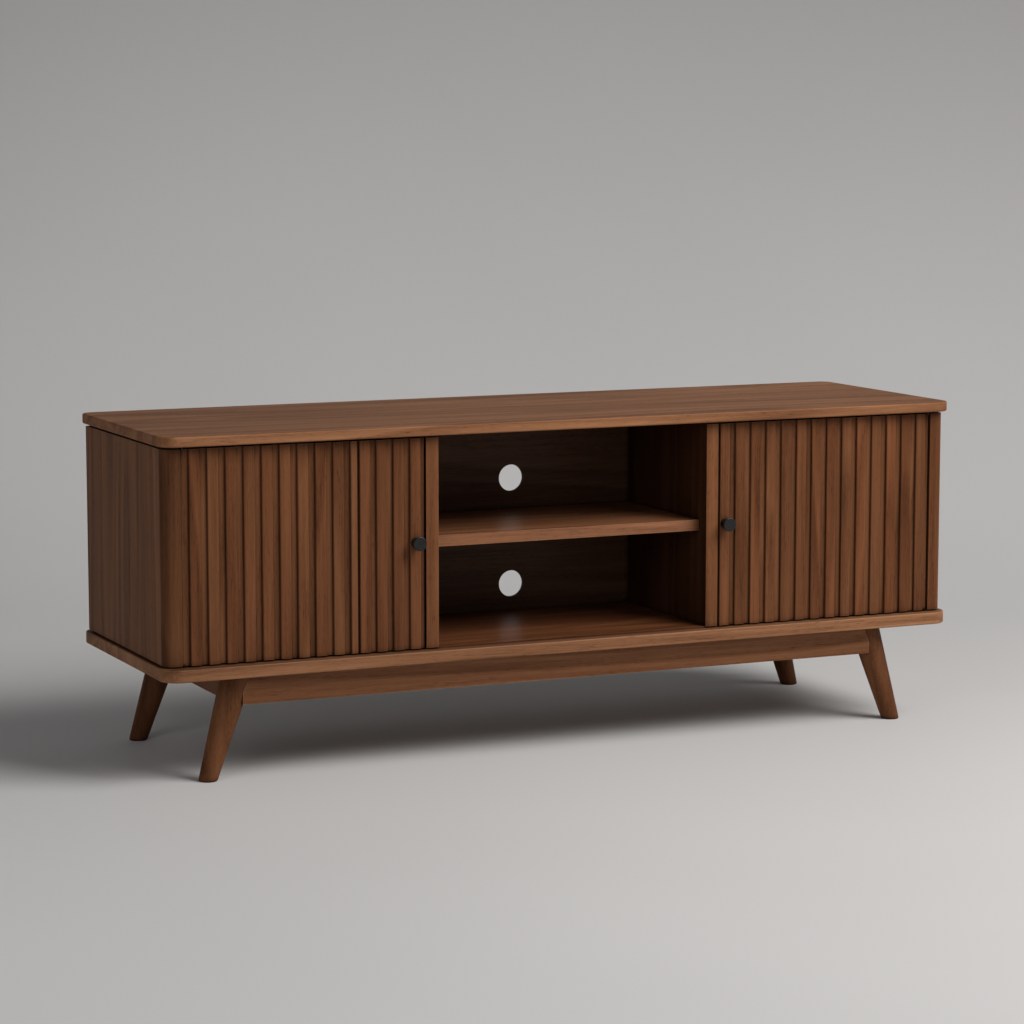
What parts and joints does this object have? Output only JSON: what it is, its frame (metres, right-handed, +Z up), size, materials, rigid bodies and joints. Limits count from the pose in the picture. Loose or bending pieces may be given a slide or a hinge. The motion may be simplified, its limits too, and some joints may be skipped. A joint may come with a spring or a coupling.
{
  "type": "tv stand",
  "caption": "Low walnut media stand with an open centre bay and shelf between two hinged fluted doors, on splayed tapered legs.",
  "frame": {"origin": "centre of the footprint, on the floor", "axes": "+X to the viewer's right along the length, doors and knobs face -Y, +Z up"},
  "size_m": [1.4, 0.4326, 0.546],
  "materials": {
    "top_walnut": "satin lacquered walnut",
    "board_walnut": "satin lacquered walnut",
    "side_walnut": "satin lacquered walnut",
    "post_walnut": "satin lacquered walnut",
    "divider_walnut": "satin lacquered walnut",
    "back_veneer": "matt walnut veneer",
    "shelf_walnut": "satin lacquered walnut",
    "leg_walnut": "satin lacquered walnut",
    "apron_walnut": "satin lacquered walnut",
    "slat_walnut": "satin lacquered walnut",
    "door_walnut": "satin lacquered walnut",
    "knob_black": "satin black",
    "hinge_steel": "brushed",
    "catch_plastic": "matt black"
  },
  "bodies": {
    "carcass": {"apron_front": "apron_walnut", "apron_left": "apron_walnut", "apron_rear": "apron_walnut", "apron_right": "apron_walnut", "bay_floor_liner": "shelf_walnut", "bottom_board": "board_walnut", "centre_back_panel": "back_veneer", "centre_shelf": "shelf_walnut", "corner_post_left": "post_walnut", "corner_post_right": "post_walnut", "cupboard_back_left": "back_veneer", "cupboard_back_right": "back_veneer", "divider_left": "divider_walnut", "divider_right": "divider_walnut", "leg_front_left": "leg_walnut", "leg_front_right": "leg_walnut", "leg_rear_left": "leg_walnut", "leg_rear_right": "leg_walnut", "magnetic_catch_left": "catch_plastic", "magnetic_catch_right": "catch_plastic", "side_panel_left": "side_walnut", "side_panel_right": "side_walnut", "top_board": "top_walnut"},
    "door_left": {"door_left_slat_01": "slat_walnut", "door_left_slat_02": "slat_walnut", "door_left_slat_03": "slat_walnut", "door_left_slat_04": "slat_walnut", "door_left_slat_05": "slat_walnut", "door_left_slat_06": "slat_walnut", "door_left_slat_07": "slat_walnut", "door_left_slat_08": "slat_walnut", "door_left_slat_09": "slat_walnut", "door_left_slat_10": "slat_walnut", "door_left_slat_11": "slat_walnut", "door_left_slat_12": "slat_walnut", "door_left_slat_13": "slat_walnut", "door_left_slat_14": "slat_walnut", "door_panel_left": "door_walnut", "knob_left": "knob_black", "pivot_hinge_left_bottom": "hinge_steel", "pivot_hinge_left_top": "hinge_steel"},
    "door_right": {"door_panel_right": "door_walnut", "door_right_slat_01": "slat_walnut", "door_right_slat_02": "slat_walnut", "door_right_slat_03": "slat_walnut", "door_right_slat_04": "slat_walnut", "door_right_slat_05": "slat_walnut", "door_right_slat_06": "slat_walnut", "door_right_slat_07": "slat_walnut", "door_right_slat_08": "slat_walnut", "door_right_slat_09": "slat_walnut", "door_right_slat_10": "slat_walnut", "door_right_slat_11": "slat_walnut", "door_right_slat_12": "slat_walnut", "door_right_slat_13": "slat_walnut", "door_right_slat_14": "slat_walnut", "knob_right": "knob_black", "pivot_hinge_right_bottom": "hinge_steel", "pivot_hinge_right_top": "hinge_steel"}
  },
  "joints": [
    {"name": "door_left_hinge", "type": "hinge", "parent": "carcass", "child": "door_left", "pos_m": [-0.662, -0.19375, 0.35775], "axis": [0, 0, -1], "range_deg": [0, 110]},
    {"name": "door_right_hinge", "type": "hinge", "parent": "carcass", "child": "door_right", "pos_m": [0.662, -0.19375, 0.35775], "axis": [0, 0, 1], "range_deg": [0, 110]}
  ]
}
